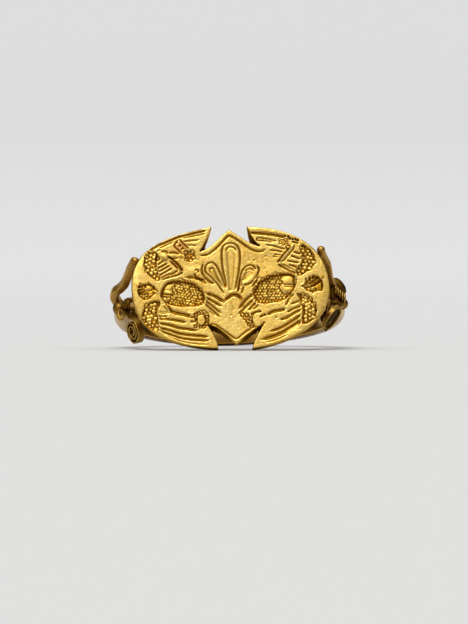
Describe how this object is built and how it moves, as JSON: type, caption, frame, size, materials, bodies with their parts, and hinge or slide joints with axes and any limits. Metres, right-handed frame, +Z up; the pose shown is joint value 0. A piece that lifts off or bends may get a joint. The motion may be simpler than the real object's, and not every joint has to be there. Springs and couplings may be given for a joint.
{
  "type": "gold seal ring",
  "caption": "Gold finger ring with a plain round hoop, a flat notched bezel plate cut with a sunk winged design, and wire stems and ribbon volutes on its shoulders.",
  "frame": {"origin": "middle of the ring's box on the surface that it lies on", "axes": "+Z up, the bezel plate faces -Y and leans back, +X to the right as the plate is seen"},
  "size_m": [0.0236, 0.024, 0.0121],
  "materials": {
    "gold": "polished with age, soft sheen"
  },
  "bodies": {
    "root": {"ring": "gold"}
  },
  "joints": []
}
